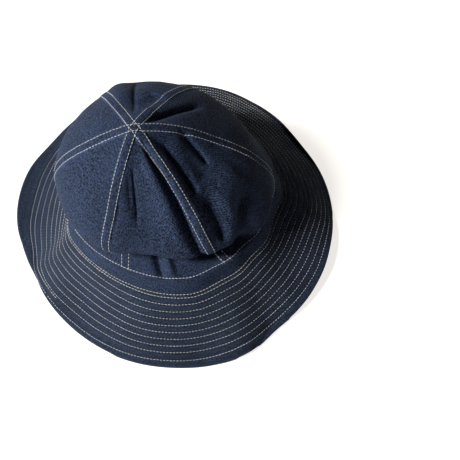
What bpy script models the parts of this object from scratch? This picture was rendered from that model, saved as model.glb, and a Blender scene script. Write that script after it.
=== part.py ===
"""Denim bucket hat: six crown gores, a plain band under them and a brim of two cloths.

Lengths are in metres. The origin is on the table, under the middle of the box round the rim. X runs to
the viewer's right, Y away from the viewer and Z up.
The whole hat is one surface, hat_point(angle, place). Place runs from 0 at the rim over 1 at the join
of brim and band and 2 at the foot of the crown to 3 at the top. Each piece of cloth is cut from that
surface and given its wall on the inner side.
"""
import bmesh
import bpy
import numpy as np

for old in list(bpy.data.objects):
    bpy.data.objects.remove(old, do_unlink=True)

# Head opening, measured at the join of band and brim
HEAD_WIDTH = 0.197
HEAD_DEPTH = 0.195

# Brim from the join to the rim, and its mean slope
BRIM_WIDTH = 0.070
BRIM_DROOP = np.radians(33.2)

# Band between the join and the foot of the crown
BAND_WIDTH = 0.0117
BAND_SLOPE = np.radians(52.0)

# Crown: its height above the join, its radius as a share of the mean radius of the head opening, how far
# its top lies from the middle of the opening, and the angle of the first seam
CROWN_RISE = 0.089
CROWN_FULLNESS = 0.964
TOP_SHIFT_X = -0.0217
TOP_SHIFT_Y = 0.0085
FIRST_SEAM = 5.0
GORES = ("back_right", "back", "back_left", "front_left", "front", "front_right")

# Cloth and seams
CLOTH = 0.0012
GAP = 0.0003
FELL_WIDTH = 0.0078
FELL_RISE = 0.0006
FELL_SLOPE = 0.0006
SEAM_TO_FOLD = 0.0039
TIP_RADIUS = 0.0022

# Near the top a seam has little room: the most that a fold turns round, in radians, and the most of a
# gore that its felled edge and the slope beside it take
MOST_FOLD_TURN = 0.35
MOST_FELL = 0.35
MOST_FELL_SLOPE = 0.05

# Colours
CROWN_BLUE = (0.034, 0.052, 0.112)
BAND_BLUE = (0.028, 0.045, 0.098)
BRIM_BLUE = (0.030, 0.048, 0.105)
UNDER_BLUE = (0.036, 0.054, 0.110)

# Mesh counts
AROUND = 72
BRIM_ROWS = 6
GORE_ROWS = 20
GORE_COLUMNS = 11

# Share of a piece within which its end takes the wall direction of the join
JOIN_REACH = 0.02

# Steps of angle and place over which the surface is measured, and the highest place that is measured
STEP = 0.01
NEARLY_TOP = 2.9999

# Corners closer to the table than this lie on it
TOUCHING = GAP / 10
SHARP_EDGE = np.radians(50)

BRIM_WALL = 2 * CLOTH + GAP
JOIN_HEIGHT = BRIM_WALL + BRIM_WIDTH * np.sin(BRIM_DROOP)
MEAN_RADIUS = (HEAD_WIDTH + HEAD_DEPTH) / 4
CROWN_RADIUS = CROWN_FULLNESS * MEAN_RADIUS
FULL_TURN = 2 * np.pi
GORE_ANGLE = 360.0 / len(GORES)

# Brim sections. rim_up is the rim's height above its lowest place as a share of the brim's drop, and below
# zero the rim is pressed on the table. width is a share of BRIM_WIDTH, bend the degrees by which the brim is
# steeper at the join than at the rim, and join_out a share of the oval of the head opening.
BRIM_COLUMNS = ("angle", "rim_up", "width", "bend", "join_out")
BRIM_SECTIONS = (
    (0, -0.02, 0.97, -8, 1.02),
    (15, -0.02, 0.98, -5, 1.00),
    (30, -0.10, 0.98, 0, 1.00),
    (38, -0.10, 0.99, 0, 1.00),
    (47, -0.06, 1.01, 0, 1.00),
    (60, -0.01, 1.03, 0, 1.00),
    (75, 0.06, 1.04, 0, 1.00),
    (95, 0.08, 1.06, 0, 0.99),
    (112, 0.10, 1.07, 0, 0.99),
    (130, 0.09, 1.08, 4, 0.99),
    (150, 0.10, 1.11, 26, 0.97),
    (164, 0.19, 1.15, 39, 0.97),
    (176, 0.19, 1.15, 40, 0.96),
    (187, 0.17, 1.09, 39, 0.97),
    (198, -0.09, 1.01, 26, 1.02),
    (206, -0.03, 0.91, 9, 1.03),
    (215, 0.06, 0.90, 12, 1.01),
    (230, 0.03, 0.95, 17, 0.98),
    (245, 0.01, 0.97, 8, 0.97),
    (258, -0.04, 0.99, -6, 0.98),
    (272, -0.10, 1.00, -3, 1.00),
    (283, -0.10, 1.01, 5, 1.01),
    (296, 0.02, 1.02, 2, 0.98),
    (308, -0.08, 1.00, 5, 0.98),
    (318, 0.05, 1.00, 10, 0.96),
    (330, 0.14, 0.98, 24, 0.98),
    (345, 0.14, 0.98, 5, 0.96),
)

# Crown sections, on the seams, in the middle of the gores and where the cloth hangs over the band in front.
# out is a share of the crown's radius, up a share of CROWN_RISE, and swing the degrees by which the cloth
# leans round the crown. The stations are the shares of the way from the foot of the crown to its top at
# which a section is written down, and the pulls scale the slopes with which it comes in to the top.
CROWN_STATIONS = np.array((0.0, 0.17, 0.34, 0.55, 0.78, 1.0))
TOP_PULL_OUT = 1.1
TOP_PULL_UP = 0.4
CROWN_COLUMNS = ("angle", "lip_swing", "slope_swing", "foot_out", "foot_up", "lip_out", "lip_up",
                 "shoulder_out", "shoulder_up", "slope_out", "slope_up")
CROWN_SECTIONS = (
    (5, 5, 13, 0.96, 0.24, 0.80, 0.47, 0.55, 0.68, 0.28, 0.88),
    (35, 7, 9, 0.94, 0.26, 0.89, 0.44, 0.66, 0.65, 0.32, 0.87),
    (65, 7, 9, 0.95, 0.30, 0.89, 0.53, 0.68, 0.72, 0.33, 0.90),
    (95, 8, 8, 0.95, 0.33, 0.90, 0.56, 0.72, 0.75, 0.35, 0.92),
    (125, 4, 4, 0.97, 0.33, 0.91, 0.57, 0.71, 0.76, 0.37, 0.92),
    (155, 3, 3, 0.97, 0.28, 0.94, 0.50, 0.75, 0.73, 0.39, 0.92),
    (185, 2, 3, 0.96, 0.29, 0.94, 0.50, 0.76, 0.71, 0.39, 0.90),
    (215, 1, -1, 0.93, 0.23, 0.92, 0.42, 0.69, 0.68, 0.34, 0.88),
    (245, -5, -4, 0.78, 0.20, 0.88, 0.36, 0.63, 0.64, 0.33, 0.87),
    (275, -10, -8, 0.68, 0.19, 0.80, 0.34, 0.55, 0.58, 0.28, 0.84),
    (290, -7, -5, 0.72, 0.17, 0.85, 0.31, 0.54, 0.62, 0.27, 0.86),
    (305, -4, -3, 0.75, 0.15, 0.88, 0.29, 0.54, 0.65, 0.26, 0.87),
    (320, -2, 0, 0.83, 0.15, 0.92, 0.29, 0.54, 0.63, 0.26, 0.86),
    (335, 0, 4, 0.98, 0.20, 0.76, 0.46, 0.50, 0.65, 0.25, 0.84),
)

# Folds of the crown, each along a straight line on a flat chart with the top in its middle and the foot one
# away from it. width is half the fold's breadth on that chart, and depth a share of the crown's radius,
# above zero for a ridge. A fold eases in and out over FOLD_FADE of its length beyond and before each end,
# and all of them die out over CALM_END of the crown at its foot and at its top.
FOLD_FADE = 0.15
CALM_END = 0.06
FOLD_COLUMNS = ("name", "from_angle", "from_share", "to_angle", "to_share", "width", "depth")
FOLDS = (
    ("valley_by_right_seam", 297, 0.88, 300, 0.30, 0.025, -0.036),
    ("ridge_on_right_seam", 306, 0.84, 306, 0.30, 0.032, 0.012),
    ("ridge_left_of_valley", 284, 0.82, 292, 0.42, 0.060, 0.014),
    ("valley_under_top", 329, 0.82, 318, 0.56, 0.026, -0.020),
    ("ridge_between", 345, 0.78, 326, 0.58, 0.042, 0.012),
    ("valley_to_right", 0, 0.75, 344, 0.56, 0.026, -0.016),
    ("hollow_right_of_seam", 322, 0.51, 314, 0.38, 0.038, -0.034),
    ("small_shelf", 320, 0.56, 331, 0.47, 0.030, 0.014),
    ("bulge_right", 326, 0.43, 348, 0.38, 0.080, 0.030),
    ("hollow_under_bulge", 318, 0.30, 344, 0.27, 0.050, -0.030),
    ("valley_back_right", 42, 0.90, 43, 0.58, 0.026, -0.024),
    ("valley_in_front", 265, 0.78, 268, 0.50, 0.034, -0.012),
    ("tuck_under_lip", 266, 0.13, 268, -0.02, 0.045, -0.035),
    ("ridge_under_lip", 274, 0.12, 274, -0.02, 0.040, 0.030),
    ("corner_at_back", 113, 0.34, 113, 0.72, 0.090, 0.035),
    ("valley_at_back", 98, 0.50, 97, 0.86, 0.050, -0.018),
    ("dent_at_back", 84, 0.80, 74, 0.68, 0.055, -0.026),
)


def column(table, names, name):
    """One named column of a table, as an array."""
    return np.array([row[names.index(name)] for row in table], dtype=float)


def ease(x):
    """Smooth step from 0 to 1 with level ends."""
    x = np.clip(x, 0.0, 1.0)
    return x * x * (3.0 - 2.0 * x)


def hermite(x, step, start, start_slope, end, end_slope):
    """Cubic piece over one step, through both ends with the slopes given."""
    return ((2 * x**3 - 3 * x**2 + 1) * start + (x**3 - 2 * x**2 + x) * step * start_slope
            + (3 * x**2 - 2 * x**3) * end + (x**3 - x**2) * step * end_slope)


def around(degrees, values, angle):
    """Smooth closed curve through a column, read at any angle round the hat."""
    knots = np.radians(degrees)
    knots = np.concatenate([knots[-2:] - FULL_TURN, knots, knots[:2] + FULL_TURN])
    values = np.concatenate([values[-2:], values, values[:2]])
    slopes = (values[2:] - values[:-2]) / (knots[2:] - knots[:-2])
    knots = knots[1:-1]
    values = values[1:-1]
    turned = np.mod(angle - knots[1], FULL_TURN) + knots[1]
    i = np.clip(np.searchsorted(knots, turned, side="right") - 1, 0, len(knots) - 2)
    step = knots[i + 1] - knots[i]
    return hermite((turned - knots[i]) / step, step, values[i], slopes[i], values[i + 1], slopes[i + 1])


def upwards(stations, values, share, end_pull):
    """Smooth curve up one section, through its values at the stations, for arrays of places at once."""
    values = np.stack(np.broadcast_arrays(*values))
    slopes = np.empty_like(values)
    span = (stations[2:] - stations[:-2]).reshape((-1,) + (1,) * (values.ndim - 1))
    slopes[1:-1] = (values[2:] - values[:-2]) / span
    slopes[0] = (values[1] - values[0]) / (stations[1] - stations[0])
    slopes[-1] = end_pull * (values[-1] - values[-2]) / (stations[-1] - stations[-2])
    i = np.clip(np.searchsorted(stations, share, side="right") - 1, 0, len(stations) - 2)
    step = stations[i + 1] - stations[i]

    def pick(array, index):
        return np.take_along_axis(array, index[None], 0)[0]

    return hermite((share - stations[i]) / step, step, pick(values, i), pick(slopes, i),
                   pick(values, i + 1), pick(slopes, i + 1))


def brim_column(name, angle):
    """One column of the brim sections, read at any angle."""
    return around(column(BRIM_SECTIONS, BRIM_COLUMNS, "angle"), column(BRIM_SECTIONS, BRIM_COLUMNS, name), angle)


def join_radius(angle):
    """Radius of the head opening: an oval, let out or taken in by the sections."""
    oval = 1.0 / np.hypot(np.cos(angle) / (HEAD_WIDTH / 2), np.sin(angle) / (HEAD_DEPTH / 2))
    return oval * brim_column("join_out", angle)


def spread(angle, out, height):
    """Points at a radius and a height round the middle of the hat."""
    return np.stack([out * np.cos(angle), out * np.sin(angle), height + 0 * out], axis=-1)


def brim_point(angle, down):
    """Even curve from the join down to the rim, steeper by its bend at the join and flatter at the rim."""
    width = brim_column("width", angle) * BRIM_WIDTH
    bend = np.radians(brim_column("bend", angle))
    drop = (1.0 - brim_column("rim_up", angle)) * BRIM_WIDTH * np.sin(BRIM_DROOP)
    droop = np.arcsin(drop / (width * np.sinc(bend / np.pi)))
    chord = width * down * np.sinc(bend * down / np.pi)
    slope = droop + bend * (1.0 - down)
    out = join_radius(angle) + chord * np.cos(slope)
    return spread(angle, out, np.maximum(JOIN_HEIGHT - chord * np.sin(slope), BRIM_WALL))


def band_point(angle, up):
    """Straight strip that leans in from the join to the foot of the crown."""
    out = join_radius(angle) - up * BAND_WIDTH * np.cos(BAND_SLOPE)
    return spread(angle, out, JOIN_HEIGHT + up * BAND_WIDTH * np.sin(BAND_SLOPE))


def crown_point(angle, share):
    """Smooth sections from the foot to the top, read between the rows of CROWN_SECTIONS."""
    degrees = column(CROWN_SECTIONS, CROWN_COLUMNS, "angle")
    read = {}
    for name in CROWN_COLUMNS[1:]:
        read[name] = around(degrees, column(CROWN_SECTIONS, CROWN_COLUMNS, name), angle)
    none = 0 * angle
    foot_out = (join_radius(angle) - BAND_WIDTH * np.cos(BAND_SLOPE)) / CROWN_RADIUS
    foot_up = BAND_WIDTH * np.sin(BAND_SLOPE) / CROWN_RISE + none
    outs = [foot_out, read["foot_out"], read["lip_out"], read["shoulder_out"], read["slope_out"], none]
    ups = [foot_up, read["foot_up"], read["lip_up"], read["shoulder_up"], read["slope_up"], 1 + none]
    lip, slope = read["lip_swing"], read["slope_swing"]
    swings = [none, lip / 2, lip, (lip + slope) / 2, slope, slope]
    out = CROWN_RADIUS * upwards(CROWN_STATIONS, outs, share, TOP_PULL_OUT)
    height = JOIN_HEIGHT + CROWN_RISE * upwards(CROWN_STATIONS, ups, share, TOP_PULL_UP)
    turned = angle + np.radians(upwards(CROWN_STATIONS, swings, share, 0.0))
    points = spread(turned, out, height)
    points[..., 0] += TOP_SHIFT_X * share
    points[..., 1] += TOP_SHIFT_Y * share
    return points


def smooth_point(angle, place):
    """The hat's surface without its folds."""
    angle, place = np.broadcast_arrays(np.asarray(angle, float), np.asarray(place, float))
    on_brim = (place < 1.0)[..., None]
    on_band = (place < 2.0)[..., None]
    brim = brim_point(angle, np.clip(1.0 - place, 0.0, 1.0))
    band = band_point(angle, np.clip(place - 1.0, 0.0, 1.0))
    crown = crown_point(angle, np.clip(place - 2.0, 0.0, 1.0))
    return np.where(on_brim, brim, np.where(on_band, band, crown))


def unit(vectors):
    """Vectors made one long."""
    return vectors / np.maximum(np.linalg.norm(vectors, axis=-1, keepdims=True), 1e-12)


def normal_of(surface, angle, place):
    """Outward direction of a surface; on a join it is the mean of both sides, so that the walls meet."""
    above = np.minimum(place + STEP, NEARLY_TOP)
    below = np.maximum(place - STEP, 0.0)
    here = surface(angle, place)
    sideways = surface(angle + STEP, place) - surface(angle - STEP, place)
    rising = unit(surface(angle, above) - here) + unit(here - surface(angle, below))
    return unit(np.cross(sideways, rising))


def fold_lift(angle, share):
    """Height of all folds at a place: a bell across each fold's line, eased in and out at its ends."""
    down = 1.0 - share
    across = down * np.cos(angle)
    along = down * np.sin(angle)
    lift = np.zeros_like(down)
    for row in FOLDS:
        fold = dict(zip(FOLD_COLUMNS, row))
        ends = np.radians([fold["from_angle"], fold["to_angle"]])
        reach = 1.0 - np.array([fold["from_share"], fold["to_share"]])
        x = reach * np.cos(ends)
        y = reach * np.sin(ends)
        length = np.hypot(x[1] - x[0], y[1] - y[0])
        dx = (x[1] - x[0]) / length
        dy = (y[1] - y[0]) / length
        run = ((across - x[0]) * dx + (along - y[0]) * dy) / length
        aside = ((along - y[0]) * dx - (across - x[0]) * dy) / fold["width"]
        begun = ease((run + FOLD_FADE) / (2 * FOLD_FADE))
        left_over = ease((1.0 + FOLD_FADE - run) / (2 * FOLD_FADE))
        lift = lift + fold["depth"] * np.exp(-aside**2) * begun * left_over
    return lift * CROWN_RADIUS


def hat_point(angle, place):
    """The hat's outer surface with its folds, which die out at the foot and at the top."""
    angle, place = np.broadcast_arrays(np.asarray(angle, float), np.asarray(place, float))
    share = np.clip(place - 2.0, 0.0, 1.0)
    lift = fold_lift(angle, share) * ease(share / CALM_END) * ease((1.0 - share) / CALM_END)
    return smooth_point(angle, place) + normal_of(smooth_point, angle, place) * lift[..., None]


def wall_direction(angle, place):
    """Outward direction for walls, the same for the two ends that meet at a join."""
    join = np.round(place)
    return normal_of(hat_point, angle, np.where(np.abs(place - join) < JOIN_REACH, join, place))


def layer(angle, place, depth):
    """Points at a depth under the outer surface; what would sink into the table lies flat on it."""
    points = hat_point(angle, place) - wall_direction(angle, place) * np.asarray(depth)[..., None]
    points[..., 2] = np.where(points[..., 2] < TOUCHING, 0.0, points[..., 2])
    return points


def rim_middle():
    """Middle of the box round the rim, measured from the middle of the head opening."""
    angle = np.arange(AROUND) * FULL_TURN / AROUND
    rim = layer(angle, 0 * angle, CLOTH + 0 * angle)
    return (rim.min(axis=0) + rim.max(axis=0)) / 2 * np.array((1.0, 1.0, 0.0))


def around_scale(angle, place):
    """Length on the surface for each radian round the hat."""
    gap = hat_point(angle + STEP, place) - hat_point(angle - STEP, place)
    return np.linalg.norm(gap, axis=-1) / (2 * STEP)


def upward_scale(angle, place):
    """Length on the surface for each unit of place."""
    gap = hat_point(angle, place + STEP) - hat_point(angle, place - STEP)
    return np.linalg.norm(gap, axis=-1) / (2 * STEP)


def denim(name, color):
    """Rough blue cloth."""
    material = bpy.data.materials.new(name)
    material.use_nodes = True
    shader = material.node_tree.nodes["Principled BSDF"]
    shader.inputs["Base Color"].default_value = (*color, 1.0)
    shader.inputs["Roughness"].default_value = 0.9
    shader.inputs["Metallic"].default_value = 0.0
    return material


def mesh_object(name, points, faces, material):
    """Object from points and quads, moved so that the origin is under the middle of the rim."""
    mesh = bpy.data.meshes.new(name)
    work = bmesh.new()
    corners = [work.verts.new(point) for point in points - rim_middle()]
    for face in faces:
        work.faces.new([corners[i] for i in face])
    bmesh.ops.triangulate(work, faces=work.faces[:])
    work.to_mesh(mesh)
    work.free()
    mesh.shade_smooth()
    mesh.set_sharp_from_angle(angle=SHARP_EDGE)
    mesh.materials.append(material)
    piece = bpy.data.objects.new(name, mesh)
    bpy.context.collection.objects.link(piece)
    return piece


def ring_of_cloth(name, profile, material):
    """Closed ring whose cross-section is a loop of (place, depth) points, read at each angle round."""
    angle = np.arange(AROUND) * FULL_TURN / AROUND
    place, depth = np.array(profile).T
    points = layer(angle[None, :], place[:, None], depth[:, None] + 0 * angle[None, :])
    count = len(profile)
    faces = []
    for i in range(count):
        for j in range(AROUND):
            near, far = i * AROUND, (i + 1) % count * AROUND
            after = (j + 1) % AROUND
            faces.append((near + j, far + j, far + after, near + after))
    return mesh_object(name, points.reshape(-1, 3), faces, material)


def brim_places():
    """Places of the rows that both cloths of the brim share, from the join out towards the rim."""
    return np.linspace(1.0 - GAP / 2 / BRIM_WIDTH, 4 * CLOTH / BRIM_WIDTH, BRIM_ROWS)


def brim_top():
    """Upper cloth of the brim, rolled down over the rim."""
    cloth = CLOTH / BRIM_WIDTH
    upper = [(place, 0.0) for place in brim_places()]
    roll = [(1.5 * cloth, 0.0), (0.5 * cloth, 0.25 * CLOTH), (0.0, CLOTH), (0.0, BRIM_WALL - 0.5 * CLOTH)]
    foot = [(0.5 * cloth, BRIM_WALL), (cloth, BRIM_WALL), (cloth, CLOTH)]
    lower = [(place, CLOTH) for place in brim_places()[::-1]]
    return ring_of_cloth("brim_top", upper + roll + foot + lower, denim("brim_denim", BRIM_BLUE))


def brim_under():
    """Lower cloth of the brim, inside the rolled edge of the upper one."""
    edge = (CLOTH + GAP) / BRIM_WIDTH
    upper = [(place, CLOTH + GAP) for place in brim_places()] + [(edge, CLOTH + GAP)]
    lower = [(edge, BRIM_WALL)] + [(place, BRIM_WALL) for place in brim_places()[::-1]]
    return ring_of_cloth("brim_under", upper + lower, denim("under_denim", UNDER_BLUE))


def crown_band():
    """Plain strip between the join row and the foot of the gores."""
    ends = GAP / 2 / BAND_WIDTH
    upper = [(place, 0.0) for place in np.linspace(2.0 - ends, 1.0 + ends, 3)]
    lower = [(place, CLOTH) for place in np.linspace(1.0 + ends, 2.0 - ends, 3)]
    return ring_of_cloth("crown_band", upper + lower, denim("band_denim", BAND_BLUE))


def seam_edge(number, place, aside):
    """Angle of the folded edge beside a seam, moved aside by a length on the surface."""
    seam = np.radians(FIRST_SEAM + GORE_ANGLE * number) + 0 * place
    scale = around_scale(seam, place)
    fold = SEAM_TO_FOLD / np.hypot(scale, SEAM_TO_FOLD / MOST_FOLD_TURN)
    return seam - fold + aside / scale


def crown_gore(number, name):
    """One gore: a wall between two seams, thicker along its first edge, where the seam is felled."""
    middle = np.radians(FIRST_SEAM + GORE_ANGLE * (number + 0.5))
    foot = 2.0 + GAP / 2 / upward_scale(middle, 2.0 + STEP)
    tip = 3.0 - TIP_RADIUS / upward_scale(middle, 3.0 - 3 * STEP)
    place = np.linspace(foot, tip, GORE_ROWS)
    left = seam_edge(number, place, GAP / 2)
    right = seam_edge(number + 1, place, -GAP / 2)
    scale = around_scale((left + right) / 2, place)
    fell = np.minimum(FELL_WIDTH / scale, MOST_FELL * (right - left))
    slope = np.minimum(FELL_SLOPE / scale, MOST_FELL_SLOPE * (right - left))
    rest = np.linspace(0.0, 1.0, GORE_COLUMNS)
    start = left + fell + slope
    angle = np.concatenate([[left, left + fell], start + rest[:, None] * (right - start)]).T
    rise = np.zeros_like(angle)
    rise[:, :2] = FELL_RISE
    place = place[:, None] + 0 * angle
    outer = layer(angle, place, -rise)
    inner = layer(angle, place, CLOTH + 0 * rise)
    return walled(name, outer, inner, denim(name + "_denim", CROWN_BLUE))


def walled(name, outer, inner, material):
    """Closed body between an outer and an inner grid of points."""
    rows, columns = outer.shape[:2]
    index = np.arange(rows * columns).reshape(rows, columns)
    under = index + rows * columns
    faces = []
    for i in range(rows - 1):
        for j in range(columns - 1):
            faces.append((index[i, j], index[i, j + 1], index[i + 1, j + 1], index[i + 1, j]))
            faces.append((under[i, j], under[i + 1, j], under[i + 1, j + 1], under[i, j + 1]))
    for i in range(rows - 1):
        faces.append((index[i, 0], index[i + 1, 0], under[i + 1, 0], under[i, 0]))
        faces.append((index[i + 1, -1], index[i, -1], under[i, -1], under[i + 1, -1]))
    for j in range(columns - 1):
        faces.append((index[0, j + 1], index[0, j], under[0, j], under[0, j + 1]))
        faces.append((index[-1, j], index[-1, j + 1], under[-1, j + 1], under[-1, j]))
    points = np.concatenate([outer.reshape(-1, 3), inner.reshape(-1, 3)])
    return mesh_object(name, points, faces, material)


brim_top()
brim_under()
crown_band()
for gore_number, gore_name in enumerate(GORES):
    crown_gore(gore_number, "crown_gore_" + gore_name)
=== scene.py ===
# %% [markdown]
# # A denim bucket hat
# The hat lies on a pale table. Six gores make its crown, a plain band stands under them, and the brim is
# two cloths held together by rows of pale stitches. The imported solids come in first: they carry the size
# and the place of every piece, and the fine cloth below is laid exactly over them.

import bpy
import numpy as np
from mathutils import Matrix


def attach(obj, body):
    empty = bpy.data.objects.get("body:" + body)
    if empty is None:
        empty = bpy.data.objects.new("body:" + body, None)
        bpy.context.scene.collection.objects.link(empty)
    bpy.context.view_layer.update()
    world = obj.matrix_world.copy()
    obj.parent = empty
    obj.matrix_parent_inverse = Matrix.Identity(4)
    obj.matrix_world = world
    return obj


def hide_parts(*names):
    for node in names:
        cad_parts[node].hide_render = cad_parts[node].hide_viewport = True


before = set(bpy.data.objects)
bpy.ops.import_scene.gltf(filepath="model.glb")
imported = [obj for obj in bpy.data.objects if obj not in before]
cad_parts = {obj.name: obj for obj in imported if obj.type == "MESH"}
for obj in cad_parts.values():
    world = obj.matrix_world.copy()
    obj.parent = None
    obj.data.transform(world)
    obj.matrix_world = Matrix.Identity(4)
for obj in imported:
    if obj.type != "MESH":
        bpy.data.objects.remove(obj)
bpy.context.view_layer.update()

print("solids:", sorted(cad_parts))

# %% [markdown]
# ## Sizes
# A hat is measured at the head opening, across the brim and up the crown. These are the sizes that the
# solids were built with, so the fine cloth and the solids agree. All lengths are in metres.

# %% Sizes of the hat
HEAD_WIDTH = 0.197
HEAD_DEPTH = 0.195
BRIM_WIDTH = 0.070
BRIM_DROOP = np.radians(33.2)
BAND_WIDTH = 0.0117
BAND_SLOPE = np.radians(52.0)
CROWN_RISE = 0.089
CROWN_FULLNESS = 0.964
TOP_SHIFT_X = -0.0217
TOP_SHIFT_Y = 0.0085
FIRST_SEAM = 5.0
SEAM_STEP = 60.0
GORES = ("back_right", "back", "back_left", "front_left", "front", "front_right")
CLOTH = 0.0012
GAP = 0.0003
FELL_RISE = 0.0006
SEAM_TO_FOLD = 0.0039

BRIM_WALL = 2 * CLOTH + GAP
JOIN_HEIGHT = BRIM_WALL + BRIM_WIDTH * np.sin(BRIM_DROOP)
MEAN_RADIUS = (HEAD_WIDTH + HEAD_DEPTH) / 4
CROWN_RADIUS = CROWN_FULLNESS * MEAN_RADIUS
FULL_TURN = 2 * np.pi
print("join of brim and band, mm above the table:", round(JOIN_HEIGHT * 1000, 1))

# %% [markdown]
# ## The shape in tables
# Soft cloth has no simple outline, so it is written down as sections, each at one angle in degrees round the
# hat. A brim section says how far the rim stands up, as a share of the brim's drop, how wide the brim is, how
# many degrees it bends between join and rim, and how far the head opening is let out there. A crown section
# gives four stations between foot and top, each by its distance from the middle and its height as shares of
# the crown's radius and rise, and how many degrees the lip and the slope swing round.

# %% Brim sections
BRIM_COLUMNS = ("angle", "rim_up", "width", "bend", "join_out")
BRIM_SECTIONS = (
    (0, -0.02, 0.97, -8, 1.02),
    (15, -0.02, 0.98, -5, 1.00),
    (30, -0.10, 0.98, 0, 1.00),
    (38, -0.10, 0.99, 0, 1.00),
    (47, -0.06, 1.01, 0, 1.00),
    (60, -0.01, 1.03, 0, 1.00),
    (75, 0.06, 1.04, 0, 1.00),
    (95, 0.08, 1.06, 0, 0.99),
    (112, 0.10, 1.07, 0, 0.99),
    (130, 0.09, 1.08, 4, 0.99),
    (150, 0.10, 1.11, 26, 0.97),
    (164, 0.19, 1.15, 39, 0.97),
    (176, 0.19, 1.15, 40, 0.96),
    (187, 0.17, 1.09, 39, 0.97),
    (198, -0.09, 1.01, 26, 1.02),
    (206, -0.03, 0.91, 9, 1.03),
    (215, 0.06, 0.90, 12, 1.01),
    (230, 0.03, 0.95, 17, 0.98),
    (245, 0.01, 0.97, 8, 0.97),
    (258, -0.04, 0.99, -6, 0.98),
    (272, -0.10, 1.00, -3, 1.00),
    (283, -0.10, 1.01, 5, 1.01),
    (296, 0.02, 1.02, 2, 0.98),
    (308, -0.08, 1.00, 5, 0.98),
    (318, 0.05, 1.00, 10, 0.96),
    (330, 0.14, 0.98, 24, 0.98),
    (345, 0.14, 0.98, 5, 0.96),
)

# %% Crown sections
CROWN_STATIONS = np.array((0.0, 0.17, 0.34, 0.55, 0.78, 1.0))
CROWN_COLUMNS = ("angle", "lip_swing", "slope_swing", "foot_out", "foot_up", "lip_out", "lip_up",
                 "shoulder_out", "shoulder_up", "slope_out", "slope_up")
CROWN_SECTIONS = (
    (5, 5, 13, 0.96, 0.24, 0.80, 0.47, 0.55, 0.68, 0.28, 0.88),
    (35, 7, 9, 0.94, 0.26, 0.89, 0.44, 0.66, 0.65, 0.32, 0.87),
    (65, 7, 9, 0.95, 0.30, 0.89, 0.53, 0.68, 0.72, 0.33, 0.90),
    (95, 8, 8, 0.95, 0.33, 0.90, 0.56, 0.72, 0.75, 0.35, 0.92),
    (125, 4, 4, 0.97, 0.33, 0.91, 0.57, 0.71, 0.76, 0.37, 0.92),
    (155, 3, 3, 0.97, 0.28, 0.94, 0.50, 0.75, 0.73, 0.39, 0.92),
    (185, 2, 3, 0.96, 0.29, 0.94, 0.50, 0.76, 0.71, 0.39, 0.90),
    (215, 1, -1, 0.93, 0.23, 0.92, 0.42, 0.69, 0.68, 0.34, 0.88),
    (245, -5, -4, 0.78, 0.20, 0.88, 0.36, 0.63, 0.64, 0.33, 0.87),
    (275, -10, -8, 0.68, 0.19, 0.80, 0.34, 0.55, 0.58, 0.28, 0.84),
    (290, -7, -5, 0.72, 0.17, 0.85, 0.31, 0.54, 0.62, 0.27, 0.86),
    (305, -4, -3, 0.75, 0.15, 0.88, 0.29, 0.54, 0.65, 0.26, 0.87),
    (320, -2, 0, 0.83, 0.15, 0.92, 0.29, 0.54, 0.63, 0.26, 0.86),
    (335, 0, 4, 0.98, 0.20, 0.76, 0.46, 0.50, 0.65, 0.25, 0.84),
)

# %% [markdown]
# ## Folds and creases
# A fold is a straight line on the flattened crown. It runs from one angle and share of the way up to
# another, with a width and a depth as shares of the crown's radius; a negative depth sinks the cloth. The
# solids have these folds too. A crease is the sharp line at the bottom of a fold, or the lit cloth beside
# it, too fine for the solids, so only the cloth laid over them has it.

# %% Folds of the crown
FOLD_COLUMNS = ("name", "from_angle", "from_share", "to_angle", "to_share", "width", "depth")
FOLDS = (
    ("valley_by_right_seam", 297, 0.88, 300, 0.30, 0.025, -0.036),
    ("ridge_on_right_seam", 306, 0.84, 306, 0.30, 0.032, 0.012),
    ("ridge_left_of_valley", 284, 0.82, 292, 0.42, 0.060, 0.014),
    ("valley_under_top", 329, 0.82, 318, 0.56, 0.026, -0.020),
    ("ridge_between", 345, 0.78, 326, 0.58, 0.042, 0.012),
    ("valley_to_right", 0, 0.75, 344, 0.56, 0.026, -0.016),
    ("hollow_right_of_seam", 322, 0.51, 314, 0.38, 0.038, -0.034),
    ("small_shelf", 320, 0.56, 331, 0.47, 0.030, 0.014),
    ("bulge_right", 326, 0.43, 348, 0.38, 0.080, 0.030),
    ("hollow_under_bulge", 318, 0.30, 344, 0.27, 0.050, -0.030),
    ("valley_back_right", 42, 0.90, 43, 0.58, 0.026, -0.024),
    ("valley_in_front", 265, 0.78, 268, 0.50, 0.034, -0.012),
    ("tuck_under_lip", 266, 0.13, 268, -0.02, 0.045, -0.035),
    ("ridge_under_lip", 274, 0.12, 274, -0.02, 0.040, 0.030),
    ("corner_at_back", 113, 0.34, 113, 0.72, 0.090, 0.035),
    ("valley_at_back", 98, 0.50, 97, 0.86, 0.050, -0.018),
    ("dent_at_back", 84, 0.80, 74, 0.68, 0.055, -0.026),
)

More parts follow.
